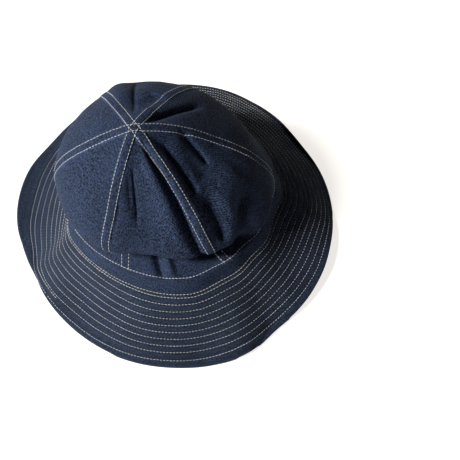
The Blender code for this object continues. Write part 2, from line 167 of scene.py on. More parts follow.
# %% Sharp creases at the bottom of the folds
CREASES = (
    ("left_of_right_seam", 298, 0.87, 300, 0.30, 0.015, -0.020),
    ("under_top", 330, 0.81, 317, 0.56, 0.013, -0.018),
    ("to_right", 2, 0.74, 344, 0.56, 0.013, -0.016),
    ("right_of_seam", 319, 0.52, 314, 0.36, 0.018, -0.016),
    ("under_bulge", 311, 0.31, 338, 0.31, 0.018, -0.012),
    ("back_right", 44, 0.90, 43, 0.60, 0.013, -0.018),
    ("in_front", 265, 0.78, 268, 0.50, 0.010, -0.008),
    ("front_left_of_it", 258, 0.74, 262, 0.58, 0.016, -0.006),
    ("front_right_of_it", 276, 0.80, 284, 0.66, 0.014, -0.007),
    ("shelf_edge", 318, 0.55, 332, 0.47, 0.012, -0.010),
    ("right_gore_low", 350, 0.52, 356, 0.34, 0.020, -0.008),
    ("under_lip", 267, 0.14, 268, 0.0, 0.014, -0.012),
    ("beside_front_seam", 252, 0.60, 250, 0.40, 0.014, -0.006),
    ("back", 97, 0.86, 98, 0.52, 0.014, -0.010),
    ("lit_right_of_right_seam", 318, 0.80, 309, 0.46, 0.022, 0.012),
    ("lit_left_of_right_seam", 289, 0.82, 293, 0.40, 0.024, 0.009),
)
print("sections:", len(BRIM_SECTIONS), "brim,", len(CROWN_SECTIONS), "crown,", len(FOLDS), "folds")

# %% [markdown]
# ## From tables to a smooth surface
# Between two rows of a table the cloth runs smoothly, so each column is read as a closed curve made of
# cubic pieces. Every function takes whole arrays of places at once and never loops over single points.

# %% Reading a column as a smooth curve
def column(table, names, name):
    """One named column of a table, as an array."""
    return np.array([row[names.index(name)] for row in table], dtype=float)


def ease(x):
    """Smooth step: 3 x squared less 2 x cubed, held at 0 and 1 outside."""
    x = np.clip(x, 0.0, 1.0)
    return x * x * (3.0 - 2.0 * x)


def hermite(x, step, start, start_slope, end, end_slope):
    """Cubic piece over one step, through both ends with the slopes given."""
    return ((2 * x**3 - 3 * x**2 + 1) * start + (x**3 - 2 * x**2 + x) * step * start_slope
            + (3 * x**2 - 2 * x**3) * end + (x**3 - x**2) * step * end_slope)


def around(degrees, values, angle):
    """Closed curve through a column: at each row the slope is the rise between its two neighbours."""
    knots = np.radians(degrees)
    knots = np.concatenate([knots[-2:] - FULL_TURN, knots, knots[:2] + FULL_TURN])
    values = np.concatenate([values[-2:], values, values[:2]])
    slopes = (values[2:] - values[:-2]) / (knots[2:] - knots[:-2])
    knots = knots[1:-1]
    values = values[1:-1]
    turned = np.mod(angle - knots[1], FULL_TURN) + knots[1]
    i = np.clip(np.searchsorted(knots, turned, side="right") - 1, 0, len(knots) - 2)
    step = knots[i + 1] - knots[i]
    return hermite((turned - knots[i]) / step, step, values[i], slopes[i], values[i + 1], slopes[i + 1])


def upwards(stations, values, share, end_pull):
    """Smooth curve up one section through its stations; end_pull scales the slope at the top."""
    values = np.stack(np.broadcast_arrays(*values))
    slopes = np.empty_like(values)
    span = (stations[2:] - stations[:-2]).reshape((-1,) + (1,) * (values.ndim - 1))
    slopes[1:-1] = (values[2:] - values[:-2]) / span
    slopes[0] = (values[1] - values[0]) / (stations[1] - stations[0])
    slopes[-1] = end_pull * (values[-1] - values[-2]) / (stations[-1] - stations[-2])
    i = np.clip(np.searchsorted(stations, share, side="right") - 1, 0, len(stations) - 2)
    step = stations[i + 1] - stations[i]

    def pick(array, index):
        return np.take_along_axis(array, index[None], 0)[0]

    return hermite((share - stations[i]) / step, step, pick(values, i), pick(slopes, i),
                   pick(values, i + 1), pick(slopes, i + 1))

# %% [markdown]
# ## The hat as one surface
# Angle goes round the hat. Place goes up it: 0 at the rim, 1 where brim and band are joined, 2 at the foot
# of the crown and 3 at the top. The band is a straight slant, the brim slants down with an even bend, and
# the crown is read from its sections.

# %% Brim, band and crown
def brim_column(name, angle):
    """One column of the brim sections, read at any angle."""
    degrees = column(BRIM_SECTIONS, BRIM_COLUMNS, "angle")
    return around(degrees, column(BRIM_SECTIONS, BRIM_COLUMNS, name), angle)


def join_radius(angle):
    """Radius of the head opening: an oval, let out or taken in by the sections."""
    oval = 1.0 / np.hypot(np.cos(angle) / (HEAD_WIDTH / 2), np.sin(angle) / (HEAD_DEPTH / 2))
    return oval * brim_column("join_out", angle)


def spread(angle, out, height):
    """Points at a radius and a height round the middle of the hat."""
    return np.stack([out * np.cos(angle), out * np.sin(angle), height + 0 * out], axis=-1)


def brim_point(angle, down):
    """Even curve from the join down to the rim, steeper by its bend at the join and flatter at the rim."""
    width = brim_column("width", angle) * BRIM_WIDTH
    bend = np.radians(brim_column("bend", angle))
    drop = (1.0 - brim_column("rim_up", angle)) * BRIM_WIDTH * np.sin(BRIM_DROOP)
    droop = np.arcsin(drop / (width * np.sinc(bend / np.pi)))
    chord = width * down * np.sinc(bend * down / np.pi)
    slope = droop + bend * (1.0 - down)
    out = join_radius(angle) + chord * np.cos(slope)
    return spread(angle, out, np.maximum(JOIN_HEIGHT - chord * np.sin(slope), BRIM_WALL))


def band_point(angle, up):
    """Straight strip that leans in from the join to the foot of the crown."""
    out = join_radius(angle) - up * BAND_WIDTH * np.cos(BAND_SLOPE)
    return spread(angle, out, JOIN_HEIGHT + up * BAND_WIDTH * np.sin(BAND_SLOPE))


def crown_point(angle, share):
    """Sections from the foot to the top; their middle moves over towards where the top lies."""
    degrees = column(CROWN_SECTIONS, CROWN_COLUMNS, "angle")
    read = {}
    for name in CROWN_COLUMNS[1:]:
        read[name] = around(degrees, column(CROWN_SECTIONS, CROWN_COLUMNS, name), angle)
    none = 0 * angle
    foot_out = (join_radius(angle) - BAND_WIDTH * np.cos(BAND_SLOPE)) / CROWN_RADIUS
    foot_up = BAND_WIDTH * np.sin(BAND_SLOPE) / CROWN_RISE + none
    outs = [foot_out, read["foot_out"], read["lip_out"], read["shoulder_out"], read["slope_out"], none]
    ups = [foot_up, read["foot_up"], read["lip_up"], read["shoulder_up"], read["slope_up"], 1 + none]
    lip, slope = read["lip_swing"], read["slope_swing"]
    swings = [none, lip / 2, lip, (lip + slope) / 2, slope, slope]
    out = CROWN_RADIUS * upwards(CROWN_STATIONS, outs, share, 1.1)
    height = JOIN_HEIGHT + CROWN_RISE * upwards(CROWN_STATIONS, ups, share, 0.4)
    turned = angle + np.radians(upwards(CROWN_STATIONS, swings, share, 0.0))
    points = spread(turned, out, height)
    points[..., 0] += TOP_SHIFT_X * share
    points[..., 1] += TOP_SHIFT_Y * share
    return points


def smooth_point(angle, place):
    """The hat's surface without its folds; each part is worked out only where it is asked for."""
    angle, place = np.broadcast_arrays(np.asarray(angle, float), np.asarray(place, float))
    points = np.empty(place.shape + (3,))
    on_brim = place < 1.0
    on_crown = place >= 2.0
    on_band = ~(on_brim | on_crown)
    if on_brim.any():
        points[on_brim] = brim_point(angle[on_brim], np.clip(1.0 - place[on_brim], 0.0, 1.0))
    if on_band.any():
        points[on_band] = band_point(angle[on_band], place[on_band] - 1.0)
    if on_crown.any():
        points[on_crown] = crown_point(angle[on_crown], np.clip(place[on_crown] - 2.0, 0.0, 1.0))
    return points

# %% [markdown]
# ## Folds
# A fold lifts or sinks the cloth along its outward direction. Across the fold's line the lift is a bell
# curve, and along the line it eases in and out. Folds die out at the foot and at the top of the crown.

# %% Outward direction and folds
STEP = 0.01
NEARLY_TOP = 2.9999
FOLD_FADE = 0.15
CALM_END = 0.06


def unit(vectors):
    """Vectors made one long."""
    return vectors / np.maximum(np.linalg.norm(vectors, axis=-1, keepdims=True), 1e-12)


def normal_of(surface, angle, place):
    """Outward direction: the cross product of the way round and the mean of the ways up and down."""
    above = np.minimum(place + STEP, NEARLY_TOP)
    below = np.maximum(place - STEP, 0.0)
    here = surface(angle, place)
    sideways = surface(angle + STEP, place) - surface(angle - STEP, place)
    rising = unit(surface(angle, above) - here) + unit(here - surface(angle, below))
    return unit(np.cross(sideways, rising))


def fold_lift(angle, share, table):
    """Sum over a table of depth times a bell across the line times an ease at both ends."""
    down = 1.0 - share
    across = down * np.cos(angle)
    along = down * np.sin(angle)
    lift = np.zeros_like(down)
    for row in table:
        fold = dict(zip(FOLD_COLUMNS, row))
        ends = np.radians([fold["from_angle"], fold["to_angle"]])
        reach = 1.0 - np.array([fold["from_share"], fold["to_share"]])
        x = reach * np.cos(ends)
        y = reach * np.sin(ends)
        length = np.hypot(x[1] - x[0], y[1] - y[0])
        dx = (x[1] - x[0]) / length
        dy = (y[1] - y[0]) / length
        run = ((across - x[0]) * dx + (along - y[0]) * dy) / length
        aside = ((along - y[0]) * dx - (across - x[0]) * dy) / fold["width"]
        fade = ease((run + FOLD_FADE) / (2 * FOLD_FADE)) * ease((1.0 + FOLD_FADE - run) / (2 * FOLD_FADE))
        lift = lift + fold["depth"] * np.exp(-aside**2) * fade
    return lift * CROWN_RADIUS


def hat_point(angle, place):
    """The smooth surface moved out by its folds, which die out at the foot and at the top."""
    angle, place = np.broadcast_arrays(np.asarray(angle, float), np.asarray(place, float))
    points = smooth_point(angle, place)
    folded = place > 2.0
    if folded.any():
        share = np.clip(place[folded] - 2.0, 0.0, 1.0)
        lift = fold_lift(angle[folded], share, FOLDS)
        lift = lift * ease(share / CALM_END) * ease((1.0 - share) / CALM_END)
        points[folded] += normal_of(smooth_point, angle[folded], place[folded]) * lift[:, None]
    return points


def outward(angle, place):
    """Outward direction of the folded cloth."""
    return normal_of(hat_point, angle, place)


def around_scale(angle, place):
    """Length on the surface for each radian round the hat."""
    gap = hat_point(angle + STEP, place) - hat_point(angle - STEP, place)
    return np.linalg.norm(gap, axis=-1) / (2 * STEP)

# %% [markdown]
# ## Fine relief
# Sewn cloth is never smooth. Between two rows of stitches it puffs up, along a row it is drawn into small
# puckers, and over a felled seam it lies a layer higher. A soft noise, made from numbers fixed to the
# corners of small cubes in space, gives the puckers and the slight crumple of the whole cloth.

# %% Soft noise
def corner_number(cell, seed):
    """A fixed number from 0 to 1 for each cube corner: the far decimals of a sine."""
    mixed = np.sin(cell @ np.array((127.1, 311.7, 74.7)) + 13.7 * seed) * 43758.5453
    return mixed - np.floor(mixed)


def soft_noise(points, size, seed):
    """Smooth noise from -1 to 1: the eight corner numbers of the cube round a point, mixed by ease."""
    scaled = points / size
    cell = np.floor(scaled)
    part = ease(scaled - cell)
    total = 0.0
    for corner in np.ndindex(2, 2, 2):
        corner = np.array(corner)
        weight = np.prod(np.where(corner == 1, part, 1.0 - part), axis=-1)
        total = total + weight * corner_number(cell + corner, seed)
    return 2.0 * total - 1.0

# %% Rows of stitches on the brim
ROW_PITCH = 0.00635
FIRST_ROW = 0.0050
LAST_ROW = 9
SPIRAL_START = np.radians(-10.0)
FIRST_TURN = -0.42
LAST_TURN = 8.64
DRIFT = 0.0046
DRIFT_START = 0.07
DRIFT_RUN = 0.056
EDGE_ROW_COLUMNS = ("angle", "length")
EDGE_ROW = ((0, 0.0620), (40, 0.0625), (90, 0.0650), (150, 0.0650), (186, 0.0640), (202, 0.0622),
            (216, 0.0605), (230, 0.0620), (272, 0.0626), (310, 0.0622), (345, 0.0620))


def brim_width(angle):
    """Length from the join to the rim at an angle."""
    return brim_column("width", angle) * BRIM_WIDTH


def edge_row(angle):
    """Length from the join to the row that holds the hem."""
    degrees = column(EDGE_ROW, EDGE_ROW_COLUMNS, "angle")
    return around(degrees, column(EDGE_ROW, EDGE_ROW_COLUMNS, "length"), angle)


def row_count(angle, down):
    """Which row a place lies on: 0 at the join, 1 at the first row, one more for each pitch further out.

    The rows are one long spiral, so the count falls by one for each turn round the hat."""
    turn = np.mod(angle - SPIRAL_START, FULL_TURN) / FULL_TURN - 1.0
    length = down * brim_width(angle)
    inner = length / FIRST_ROW
    outer = 1.0 + (length - FIRST_ROW) / ROW_PITCH - turn
    return np.where(length < FIRST_ROW, inner, np.maximum(outer, 1.0))

# %% Relief of brim, band and crown
PUFF = 0.00032
ROW_SINK = 0.00022
ROW_SOFTNESS = 0.0006
HEM_RISE = 0.0003


def brim_relief(angle, down, points):
    """Puffs between the rows, a bump for the hem's edge, puckers and a slow crumple."""
    count = row_count(angle, down)
    length = down * brim_width(angle)
    quilted = ease((LAST_ROW + 1.2 - count) / 1.2)
    puff = PUFF * np.abs(np.sin(np.pi * count)) ** 0.6 * quilted
    past_row = length - edge_row(angle)
    hem = HEM_RISE * ease(past_row / 0.0012) * ease((brim_width(angle) - length) / 0.002)
    hem = hem - ROW_SINK * np.exp(-(past_row / ROW_SOFTNESS) ** 2)
    pucker = 0.00016 * soft_noise(points, 0.0045, 3) + 0.00028 * soft_noise(points, 0.013, 4)
    inside = ease(down / 0.04) * ease((1.0 - down) / 0.03)
    return (puff + hem + pucker - ROW_SINK) * inside


def seam_distance(angle, place):
    """Length on the surface from the nearest seam: local radius times the sine of the angle to it."""
    steps = (np.degrees(angle) - FIRST_SEAM) / SEAM_STEP
    off = np.radians((steps - np.round(steps)) * SEAM_STEP)
    return around_scale(angle, place) * np.sin(off)


ROW_ASIDE = 0.0031


def crown_relief(angle, place, points):
    """Felled seams stand up by one layer, stitch rows sink in, and the cloth puckers beside them."""
    aside = seam_distance(angle, place)
    off = np.abs(aside)
    fell = FELL_RISE * ease((SEAM_TO_FOLD + 0.0003 - off) / 0.0008)
    rows = -0.0002 * np.exp(-((off - ROW_ASIDE) / ROW_SOFTNESS) ** 2)
    near = np.exp(-(off / 0.007) ** 2)
    pucker = near * 0.00022 * soft_noise(points, 0.0035, 5)
    crumple = 0.00035 * soft_noise(points, 0.014, 6) + 0.00012 * soft_noise(points, 0.0055, 7)
    crease = fold_lift(angle, place - 2.0, CREASES)
    foot = ease((place - 2.0) / 0.04)
    return (fell + rows + pucker + crumple + crease) * foot


def relief(angle, place, points):
    """Relief of whichever part of the hat a place lies on."""
    brim = brim_relief(angle, np.clip(1.0 - place, 0.0, 1.0), points)
    crown = crown_relief(angle, np.maximum(place, 2.0), points)
    band = 0.00015 * soft_noise(points, 0.006, 8) * ease((place - 1.0) / 0.1) * ease((2.0 - place) / 0.1)
    return np.where(place < 1.0, brim, np.where(place < 2.0, band, crown))

# %% [markdown]
# ## Wear
# Indigo rubs off where the cloth stands out: along the rim, along the folded edge of each seam and a little
# on the crests between the rows. Each point of the cloth carries that amount for its finish to read.

# %% Wear
ROW_TOP = 2.999


def wear_of(angle, place):
    """Where the dye has rubbed off, from 0 to 1: bells across the rim and across the folded edges of the
    seams, and a little on the crests between the rows of the brim."""
    angle, place = np.broadcast_arrays(np.asarray(angle, float), np.asarray(place, float))
    down = np.clip(1.0 - place, 0.0, 1.0)
    rim = np.exp(-((1.0 - down) * brim_width(angle) / 0.0014) ** 2)
    crest = 0.35 * np.sin(np.pi * row_count(angle, down)) ** 4
    off = np.abs(seam_distance(angle, np.clip(place, 2.0, ROW_TOP)))
    edge = 0.9 * np.exp(-((off - SEAM_TO_FOLD) / 0.0007) ** 2)
    return np.where(place < 1.0, np.maximum(rim, crest), np.where(place >= 2.0, edge, 0.0))

# %% [markdown]
# ## Walls and placing
# The outer face of a cloth lies on the surface plus its relief, and its inner face one thickness below.
# The hat's origin lies under the middle of the box round its rim, so that middle is taken off last.

# %% Points at a depth in the cloth
SOLID_COLUMNS = 72


def rim_middle():
    """Middle of the box round the rim, read at the same angles as the solids use."""
    angle = np.arange(SOLID_COLUMNS) * FULL_TURN / SOLID_COLUMNS
    points = hat_point(angle, 0 * angle) - outward(angle, 0 * angle) * CLOTH
    points[..., 2] = 0.0
    return (points.min(axis=0) + points.max(axis=0)) / 2


MIDDLE = rim_middle()


def cloth(angle, place, depth, share_of_relief=1.0):
    """Points at a depth under the outer face of the cloth, never below the table."""
    angle, place = np.broadcast_arrays(np.asarray(angle, float), np.asarray(place, float))
    points = hat_point(angle, place)
    lift = relief(angle, place, points) * share_of_relief - depth
    points = points + outward(angle, place) * np.asarray(lift)[..., None]
    points[..., 2] = np.maximum(points[..., 2], 0.0)
    return points - MIDDLE


print("middle of the rim, mm:", np.round(MIDDLE * 1000, 2))

# %% [markdown]
# ## Meshes from grids
# A grid of points becomes faces in one step: the corners of every square are read from the grid shifted by
# one row and one column. Each piece also gets a flat map of its cloth in metres, named Cloth, so that the
# weave runs straight across it as it did on the cutting table.

# %% Mesh from points and faces
def piece_from(name, points, faces, flat, wear=None):
    """Object at the origin from points, four-cornered faces, and a flat place and a wear for each point."""
    mesh = bpy.data.meshes.new(name)
    points = points.reshape(-1, 3)
    faces = faces.reshape(-1, 4)
    mesh.vertices.add(len(points))
    mesh.vertices.foreach_set("co", points.astype(np.float32).ravel())
    mesh.loops.add(faces.size)
    mesh.loops.foreach_set("vertex_index", faces.astype(np.int32).ravel())
    mesh.polygons.add(len(faces))
    mesh.polygons.foreach_set("loop_start", np.arange(0, faces.size, 4, dtype=np.int32))
    mesh.polygons.foreach_set("use_smooth", np.ones(len(faces), dtype=bool))
    layer = mesh.uv_layers.new(name="Cloth")
    layer.data.foreach_set("uv", flat.reshape(-1, 2)[faces.ravel()].astype(np.float32).ravel())
    if wear is not None:
        worn = mesh.attributes.new("Wear", "FLOAT", "POINT")
        worn.data.foreach_set("value", wear.astype(np.float32).ravel())
    mesh.update(calc_edges=True)
    mesh.validate()
    piece = bpy.data.objects.new(name, mesh)
    bpy.context.collection.objects.link(piece)
    return piece


def squares(index):
    """Four corners of every square of a grid of point numbers."""
    corners = [index[:-1, :-1], index[:-1, 1:], index[1:, 1:], index[1:, :-1]]
    return np.stack(corners, axis=-1).reshape(-1, 4)


def walled(name, outer, inner, flat, wear):
    """Closed wall between an outer and an inner grid, with rims on its four sides."""
    rows, columns = outer.shape[:2]
    top = np.arange(rows * columns).reshape(rows, columns)
    low = top + rows * columns
    faces = [squares(top), squares(low)[:, ::-1]]
    for edge, other in ((top[:, 0], low[:, 0]), (top[-1], low[-1]), (top[::-1, -1], low[::-1, -1]),
                        (top[0, ::-1], low[0, ::-1])):
        faces.append(np.stack([edge[:-1], edge[1:], other[1:], other[:-1]], axis=-1))
    points = np.concatenate([outer.reshape(-1, 3), inner.reshape(-1, 3)])
    return piece_from(name, points, np.concatenate(faces), np.concatenate([flat, flat]),
                      np.concatenate([wear, wear]))


def ring(name, points, flat, wear):
    """Closed ring from a grid whose rows go round its cross-section and whose columns go round the hat."""
    rows, columns = points.shape[:2]
    index = np.arange(rows * columns).reshape(rows, columns)
    index = np.concatenate([index, index[:1]])
    index = np.concatenate([index, index[:, :1]], axis=1)
    return piece_from(name, points, squares(index)[:, ::-1], flat, wear)

# %% [markdown]
# ## Brim
# The upper cloth of the brim rolls over the rim and comes back a little way underneath, as a hem does, and
# the lower cloth ends inside that roll. Both share their rows, so they lie flat on each other.

# %% Upper and lower cloth of the brim
AROUND = 648
BRIM_ROWS = 104


def flat_ring(angle, place):
    """Place on the cutting table: the brim pressed flat, in metres across."""
    out = join_radius(angle) + np.clip(1.0 - place, 0.0, 1.0) * BRIM_WIDTH
    return np.stack([out * np.cos(angle), out * np.sin(angle)], axis=-1)


def brim_ring(name, profile):
    """Ring of cloth from (place, depth) pairs round its cross-section."""
    angle = np.arange(AROUND) * FULL_TURN / AROUND
    place, depth = np.array(profile).T
    angle = angle[None, :]
    place = place[:, None]
    points = cloth(angle, place, depth[:, None] + 0 * angle)
    return ring(name, points, flat_ring(angle, place), wear_of(angle, place))


brim_places = np.linspace(1.0 - GAP / 2 / BRIM_WIDTH, 2 * CLOTH / BRIM_WIDTH, BRIM_ROWS)
coarse_places = brim_places[::4]
turned = CLOTH / BRIM_WIDTH

upper = [(place, 0.0) for place in brim_places]
roll = [(1.5 * turned, 0.0), (1.0 * turned, 0.06 * CLOTH), (0.5 * turned, 0.25 * CLOTH),
        (0.15 * turned, 0.6 * CLOTH), (0.0, CLOTH), (0.0, BRIM_WALL - CLOTH),
        (0.15 * turned, BRIM_WALL - 0.4 * CLOTH)]
foot = [(0.5 * turned, BRIM_WALL), (turned, BRIM_WALL), (1.2 * turned, BRIM_WALL - 0.3 * CLOTH),
        (1.2 * turned, CLOTH)]
inside = [(place, CLOTH) for place in coarse_places[::-1]]
brim_top = brim_ring("brim_top_cloth", upper + roll + foot + inside)

edge = 1.5 * turned
upper = [(place, CLOTH + GAP / 2) for place in coarse_places] + [(edge, CLOTH + GAP / 2)]
lower = [(edge, BRIM_WALL)] + [(place, BRIM_WALL) for place in brim_places[::-1]]
brim_under = brim_ring("brim_under_cloth", upper + lower)
print("brim faces:", len(brim_top.data.polygons), "and", len(brim_under.data.polygons))

# %% [markdown]
# ## Band and gores
# The band is a plain strip. Each gore is a wall between two seams. Its first edge is folded over the gore
# before it, so its columns stand close together there to roll the edge, and spread out over the rest.

# %% Band
def band_ring():
    """Plain strip between the join and the foot of the crown, with both faces."""
    angle = np.arange(AROUND) * FULL_TURN / AROUND
    ends = GAP / 4 / BAND_WIDTH
    up = np.linspace(2.0 - ends, 1.0 + ends, 14)
    place = np.concatenate([up, up[::-1]])
    depth = np.concatenate([0 * up, CLOTH + 0 * up])
    points = cloth(angle[None, :], place[:, None], depth[:, None] + 0 * angle[None, :])
    flat = np.stack([angle[None, :] * MEAN_RADIUS + 0 * place[:, None],
                     place[:, None] * BAND_WIDTH + 0 * angle[None, :]], axis=-1)
    return ring("band_cloth", points, flat, wear_of(angle[None, :], place[:, None]))


band = band_ring()

# %% Gores of the crown
GORE_ROWS = 170
EDGE_ROLL = ((0.0, 0.00045), (0.00012, 0.00016), (0.0004, 0.00003), (0.0008, 0.0), (0.0016, 0.0),
             (0.0024, 0.0), (0.0031, 0.0), (0.0039, 0.0), (0.0049, 0.0), (0.0060, 0.0), (0.0065, 0.0),
             (0.0070, 0.0), (0.0074, 0.0), (0.0078, 0.0), (0.0082, 0.0), (0.0088, 0.0))
MOST_TURN = 0.35
GORE_COLUMNS = 64
HAIR = 0.00005


def seam_edge(number, place, aside):
    """Angle of the folded edge beside a seam, moved aside by a length on the surface."""
    seam = np.radians(FIRST_SEAM + SEAM_STEP * number) + 0 * place
    scale = around_scale(seam, place)
    fold = SEAM_TO_FOLD / np.hypot(scale, SEAM_TO_FOLD / MOST_TURN)
    return seam - fold + aside / np.maximum(scale, 1e-5)


def gore(number, name):
    """Wall between two seams; the map has its straight grain up the middle of the gore."""
    middle = np.radians(FIRST_SEAM + SEAM_STEP * (number + 0.5))
    close_to_top = 3.0 - 0.03 * np.linspace(0.9, 0.004, 8)
    place = np.concatenate([np.linspace(2.0005, 2.97, GORE_ROWS - 8), close_to_top])
    left = seam_edge(number, place, HAIR)
    right = seam_edge(number + 1, place, -HAIR)
    scale = around_scale((left + right) / 2, place)
    columns = []
    for aside, depth in EDGE_ROLL:
        most = aside / EDGE_ROLL[-1][0] * MOST_TURN * (right - left)
        columns.append(left + np.minimum(aside / scale, most))
    rest = np.linspace(0.0, 1.0, GORE_COLUMNS)[1:]
    angle = np.concatenate([np.stack(columns, axis=1),
                            columns[-1][:, None] + rest * (right - columns[-1])[:, None]], axis=1)
    sink = np.zeros(angle.shape[1])
    sink[:len(EDGE_ROLL)] = [depth for aside, depth in EDGE_ROLL]
    place = place[:, None] + 0 * angle
    outer = cloth(angle, place, sink + 0 * angle)
    inner = cloth(angle, place, CLOTH + 0 * angle, 0.4)
    spine = hat_point(middle + 0 * place[:, :1], place[:, :1])
    steps = np.linalg.norm(np.diff(spine[:, 0], axis=0), axis=-1)
    up = np.concatenate([[0.0], np.cumsum(steps)])
    across = (angle - middle) * around_scale(middle + 0 * place, place)
    flat = np.stack([across, up[:, None] + 0 * angle], axis=-1)
    return walled("gore_cloth_" + name, outer, inner, flat.reshape(-1, 2), wear_of(angle, place).ravel())


gores = [gore(number, name) for number, name in enumerate(GORES)]
print("faces of a gore:", len(gores[0].data.polygons))

# %% [markdown]
# ## Thread
# Each stitch is a short piece of thread that comes up out of the cloth, lies on it and goes down again. One
# low-sided tube of five rings stands for it, and whole rows are made at once: the surface gives a path, and
# every stitch takes its rings from that path.

# %% Stitches along a path
STITCH_PITCH = 0.0029
STITCH_LENGTH = 0.0021
THREAD = 0.00043
RINGS = 5
SIDES = 5


def stitch_row(points, normals, seed):
    """Corner points of all stitches along a path: rings of thread that rise and sink with a sine."""
    steps = np.linalg.norm(np.diff(points, axis=0), axis=-1)
    run = np.concatenate([[0.0], np.cumsum(steps)])
    count = max(int(run[-1] / STITCH_PITCH), 1)
    start = (np.arange(count) + 0.5) * run[-1] / count
    wobble = corner_number(np.stack([np.arange(count), np.full(count, 3.0), np.zeros(count)], axis=-1), seed)
    along = np.linspace(-0.5, 0.5, RINGS)
    length = STITCH_LENGTH * (0.94 + 0.12 * wobble)
    at = start[:, None] + length[:, None] * along[None, :]

    def read(values):
        return np.stack([np.interp(at, run, values[:, k]) for k in range(3)], axis=-1)

    middle = read(points)
    up = unit(read(normals))
    ahead = unit(np.gradient(middle, axis=1))
    side = unit(np.cross(ahead, up))
    bow = np.cos(np.pi * along)
    middle = middle + up * (THREAD * (0.62 * bow ** 0.6 - 0.30))[None, :, None]
    middle = middle + side * ((wobble - 0.5) * 0.00012)[:, None, None]
    girth = THREAD / 2 * (0.62 + 0.38 * bow)
    turn = np.arange(SIDES) * FULL_TURN / SIDES
    round_it = (side[:, :, None] * np.cos(turn)[None, None, :, None]
                + up[:, :, None] * np.sin(turn)[None, None, :, None])
    return middle[:, :, None] + girth[None, :, None, None] * round_it


def thread_piece(name, rows):
    """One object from many rows of stitches, each stitch a tube of thread open at both ends."""
    stitches = np.concatenate(rows)
    count = len(stitches)
    one = np.arange(RINGS * SIDES).reshape(RINGS, SIDES)
    one = np.concatenate([one, one[:, :1]], axis=1)
    tube = squares(one)
    ends = np.array([[0, 1, 2, 2], [0, 2, 3, 4]])
    faces = tube[None] + (np.arange(count) * RINGS * SIDES)[:, None, None]
    along = np.arange(RINGS)[:, None] * 0.0006
    around_it = np.arange(SIDES)[None, :] * 0.0004
    flat = np.stack(np.broadcast_arrays(along, around_it), axis=-1)
    piece = piece_from(name, stitches, faces, np.tile(flat.reshape(1, -1, 2), (count, 1, 1)))
    print(name, count, "stitches")
    return piece

# %% Paths of the rows
def spiral(depth, facing):
    """The one long row of the brim: its length from the join grows by a pitch each turn, and its end drifts
    in to the turn before it."""
    turn = np.linspace(FIRST_TURN, LAST_TURN, 11000)
    angle = SPIRAL_START + turn * FULL_TURN
    length = FIRST_ROW + ROW_PITCH * turn - DRIFT * ease((turn - LAST_TURN + DRIFT_START) / DRIFT_RUN)
    place = 1.0 - length / brim_width(angle)
    return cloth(angle, place, depth), facing * outward(angle, place)


def hem_row(depth, facing):
    """Row that holds the hem, once round the brim from its own start."""
    angle = np.radians(np.linspace(217.0, 217.0 + 359.0, 1500))
    place = 1.0 - edge_row(angle) / brim_width(angle)
    return cloth(angle, place, depth), facing * outward(angle, place)


def half_row(number, aside):
    """Angle and place from the top down beside one seam: the offset's angle has the tangent aside over the
    way from the top, and the place is the one as far from the top as the two together."""
    ladder = np.linspace(3.0, 2.012, 500)
    seam = np.radians(FIRST_SEAM + SEAM_STEP * number)
    spine = smooth_point(seam + 0 * ladder, ladder)
    far = np.concatenate([[0.0], np.cumsum(np.linalg.norm(np.diff(spine, axis=0), axis=-1))])
    way = (np.sqrt(far[-1] ** 2 - aside**2)) * np.linspace(0.0, 1.0, 360) ** 1.4
    reach = np.hypot(way, aside)
    place = np.interp(reach, far, ladder)
    scale = around_scale(seam + 0 * place, np.minimum(place, ROW_TOP))
    return seam + np.arctan2(aside, way * scale / reach), place


def over_the_top(number, aside, depth, facing):
    """One row up a seam, across the top and down the opposite seam."""
    angle, place = half_row(number, aside)
    other_angle, other_place = half_row(number + 3, -aside)
    angle = np.concatenate([angle[::-1], other_angle[1:]])
    place = np.concatenate([place[::-1], other_place[1:]])
    return cloth(angle, place, depth), facing * outward(angle, np.minimum(place, ROW_TOP))


def level_row(place, depth, facing):
    """Row right round the hat at one place."""
    angle = np.linspace(0.0, FULL_TURN, 1200)
    return cloth(angle, place + 0 * angle, depth), facing * outward(angle, place + 0 * angle)


UNDER_DEPTH = BRIM_WALL - 0.0003
over = [stitch_row(*spiral(0.0, 1), 1), stitch_row(*hem_row(0.0, 1), 2),
        stitch_row(*level_row(0.99, 0.0, 1), 3)]
thread_brim = thread_piece("thread_brim", over)
below = [stitch_row(*spiral(UNDER_DEPTH, -1), 4)]
thread_under = thread_piece("thread_under", below)
double = [stitch_row(*level_row(2.02, 0.0, 1), 5)]
inside_rows = []
for number in range(3):
    for aside in (-ROW_ASIDE, ROW_ASIDE):
        double.append(stitch_row(*over_the_top(number, aside, 0.0, 1), 10 + number))
        inside_rows.append(stitch_row(*over_the_top(number, aside, CLOTH, -1), 20 + number))
thread_crown = thread_piece("thread_crown", double)
thread_inside = thread_piece("thread_inside", inside_rows)

# %% [markdown]
# ## Denim
# Denim is a twill: blue warp threads pass over three pale weft threads and under one, and each thread is
# one step on from the last, which draws the slanting lines. The group below makes that weave, the slubs and
# the worn, mottled blue from the Cloth map, and each denim material sets its own blues.

# %% A small helper for node trees
def add(tree, kind, at, settings=None, **inputs):
    """Adds a node, sets its properties and its unlinked inputs, and returns it."""
    node = tree.nodes.new(kind)
    node.location = at
    for name, value in (settings or {}).items():
        setattr(node, name, value)
    for name, value in inputs.items():
        slot = int(name[1:]) if name[0] == "i" and name[1:].isdigit() else name
        if isinstance(value, bpy.types.NodeSocket):
            tree.links.new(value, node.inputs[slot])
        else:
            node.inputs[slot].default_value = value
    return node


def math(tree, operation, at, a, b=0.0):
    """Math node whose inputs are sockets or numbers."""
    return add(tree, "ShaderNodeMath", at, {"operation": operation}, i0=a, i1=b).outputs[0]

